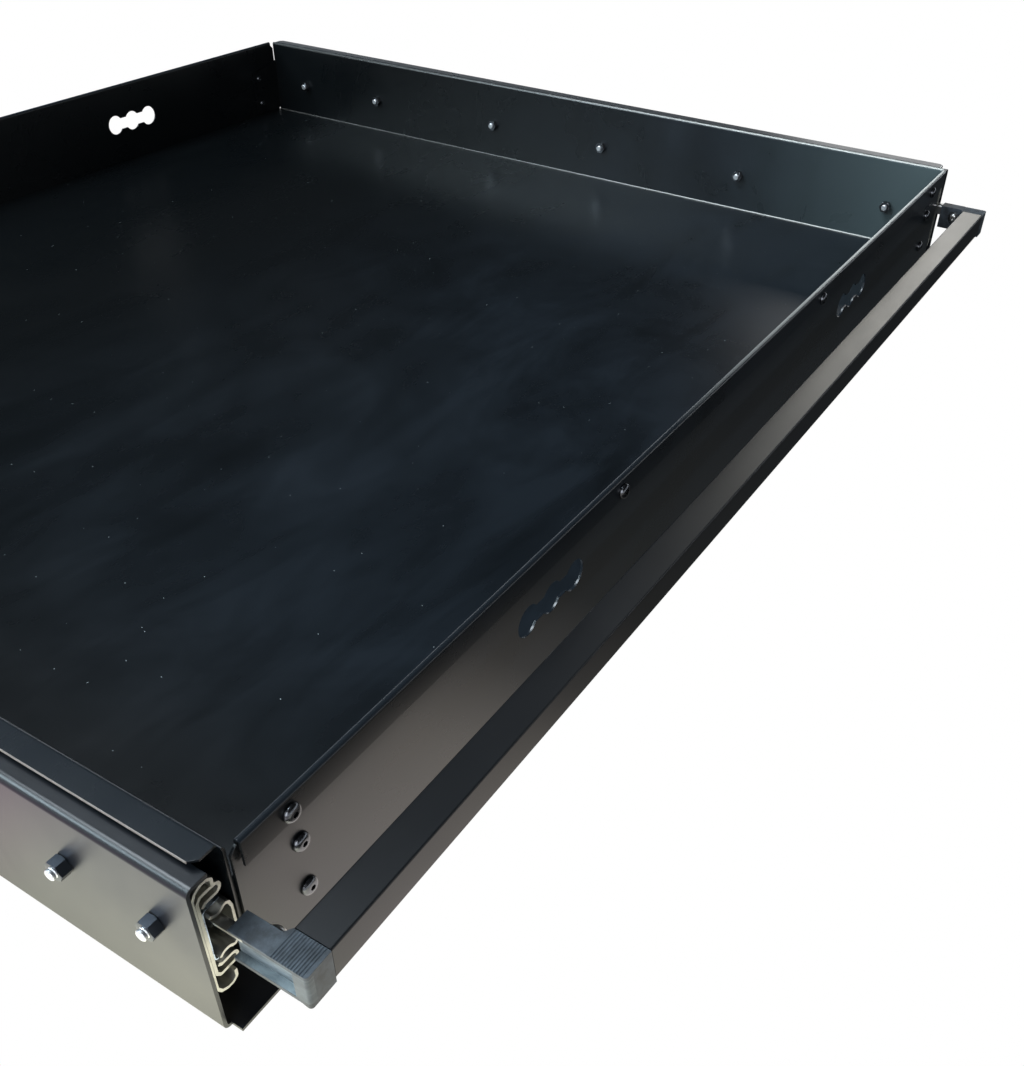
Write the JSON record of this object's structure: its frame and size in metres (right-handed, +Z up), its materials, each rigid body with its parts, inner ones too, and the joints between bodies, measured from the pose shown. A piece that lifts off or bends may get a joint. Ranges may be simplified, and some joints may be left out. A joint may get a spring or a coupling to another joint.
{
  "type": "van drawer system",
  "caption": "Low, wide folded-steel drawer on ball slides between two floor brackets, with a pull bar on two levers across its front.",
  "frame": {"origin": "centre of the object's box at floor height, under the brackets", "axes": "+X to the right seen from the front, +Y from the pull bar to the back, +Z up"},
  "size_m": [1.064, 0.9488, 0.1058],
  "materials": {
    "bracket_coating": "satin grey powder coat",
    "tray_coating": "satin near-black powder coat",
    "rail_zinc": "galvanised sheet",
    "cage_zinc": "blue zinc plate",
    "lever_plastic": "moulded slate-grey plastic",
    "bar_coating": "satin dark powder coat",
    "strap_steel": "bright zinc plate",
    "screw_black": "black zinc plate",
    "nut_zinc": "grey zinc plate"
  },
  "bodies": {
    "fixed_frame": {"left_floor_bracket": "bracket_coating", "left_outer_rail": "rail_zinc", "left_bracket_bolt_1": "nut_zinc", "left_bracket_bolt_2": "nut_zinc", "left_bracket_bolt_3": "nut_zinc", "left_bracket_bolt_4": "nut_zinc", "left_bracket_bolt_5": "nut_zinc", "right_floor_bracket": "bracket_coating", "right_outer_rail": "rail_zinc", "right_bracket_bolt_1": "nut_zinc", "right_bracket_bolt_2": "nut_zinc", "right_bracket_bolt_3": "nut_zinc", "right_bracket_bolt_4": "nut_zinc", "right_bracket_bolt_5": "nut_zinc"},
    "drawer": {"left_inner_rail": "rail_zinc", "left_tray_bolt_1": "screw_black", "left_tray_bolt_2": "screw_black", "left_tray_bolt_3": "screw_black", "left_tray_bolt_4": "screw_black", "left_tray_bolt_5": "screw_black", "left_tray_bolt_6": "screw_black", "left_front_end_screw_1": "screw_black", "left_back_end_screw_1": "screw_black", "left_front_end_screw_2": "screw_black", "left_back_end_screw_2": "screw_black", "left_pivot_pin": "strap_steel", "right_inner_rail": "rail_zinc", "right_tray_bolt_1": "screw_black", "right_tray_bolt_2": "screw_black", "right_tray_bolt_3": "screw_black", "right_tray_bolt_4": "screw_black", "right_tray_bolt_5": "screw_black", "right_tray_bolt_6": "screw_black", "right_front_end_screw_1": "screw_black", "right_back_end_screw_1": "screw_black", "right_front_end_screw_2": "screw_black", "right_back_end_screw_2": "screw_black", "right_pivot_pin": "strap_steel", "tray_pan": "tray_coating", "front_panel": "tray_coating", "back_panel": "tray_coating", "hem_screw_1": "screw_black", "hem_screw_2": "screw_black", "hem_screw_3": "screw_black", "hem_screw_4": "screw_black"},
    "release": {"left_release_lever": "lever_plastic", "left_latch_strap": "strap_steel", "left_lever_screw": "strap_steel", "right_release_lever": "lever_plastic", "right_latch_strap": "strap_steel", "right_lever_screw": "strap_steel", "pull_bar": "bar_coating"},
    "left_middle": {"left_middle_rail": "rail_zinc"},
    "left_outer_cage": {"left_outer_ball_cage": "cage_zinc"},
    "left_inner_cage": {"left_inner_ball_cage": "cage_zinc"},
    "right_middle": {"right_middle_rail": "rail_zinc"},
    "right_outer_cage": {"right_outer_ball_cage": "cage_zinc"},
    "right_inner_cage": {"right_inner_ball_cage": "cage_zinc"}
  },
  "joints": [
    {"name": "drawer_slide", "type": "slide", "parent": "fixed_frame", "child": "drawer", "axis": [0, -1, 0], "range_m": [0, 0.88]},
    {"name": "left_middle_slide", "type": "slide", "parent": "fixed_frame", "child": "left_middle", "axis": [0, -1, 0], "range_m": [0, 0.44]},
    {"name": "left_outer_cage_slide", "type": "slide", "parent": "fixed_frame", "child": "left_outer_cage", "axis": [0, -1, 0], "range_m": [0, 0.22]},
    {"name": "left_inner_cage_slide", "type": "slide", "parent": "fixed_frame", "child": "left_inner_cage", "axis": [0, -1, 0], "range_m": [0, 0.66]},
    {"name": "right_middle_slide", "type": "slide", "parent": "fixed_frame", "child": "right_middle", "axis": [0, -1, 0], "range_m": [0, 0.44]},
    {"name": "right_outer_cage_slide", "type": "slide", "parent": "fixed_frame", "child": "right_outer_cage", "axis": [0, -1, 0], "range_m": [0, 0.22]},
    {"name": "right_inner_cage_slide", "type": "slide", "parent": "fixed_frame", "child": "right_inner_cage", "axis": [0, -1, 0], "range_m": [0, 0.66]},
    {"name": "release_turn", "type": "hinge", "parent": "drawer", "child": "release", "pos_m": [0, -0.40565, 0.0585], "axis": [-1, 0, 0], "range_deg": [0, 4], "stiffness_Nm_per_rad": 1.5, "springref_deg": -8.59}
  ],
  "couplings": [
    {"joint": "left_middle_slide", "follows": "drawer_slide", "ratio": 0.5},
    {"joint": "left_outer_cage_slide", "follows": "drawer_slide", "ratio": 0.25},
    {"joint": "left_inner_cage_slide", "follows": "drawer_slide", "ratio": 0.75},
    {"joint": "right_middle_slide", "follows": "drawer_slide", "ratio": 0.5},
    {"joint": "right_outer_cage_slide", "follows": "drawer_slide", "ratio": 0.25},
    {"joint": "right_inner_cage_slide", "follows": "drawer_slide", "ratio": 0.75}
  ]
}
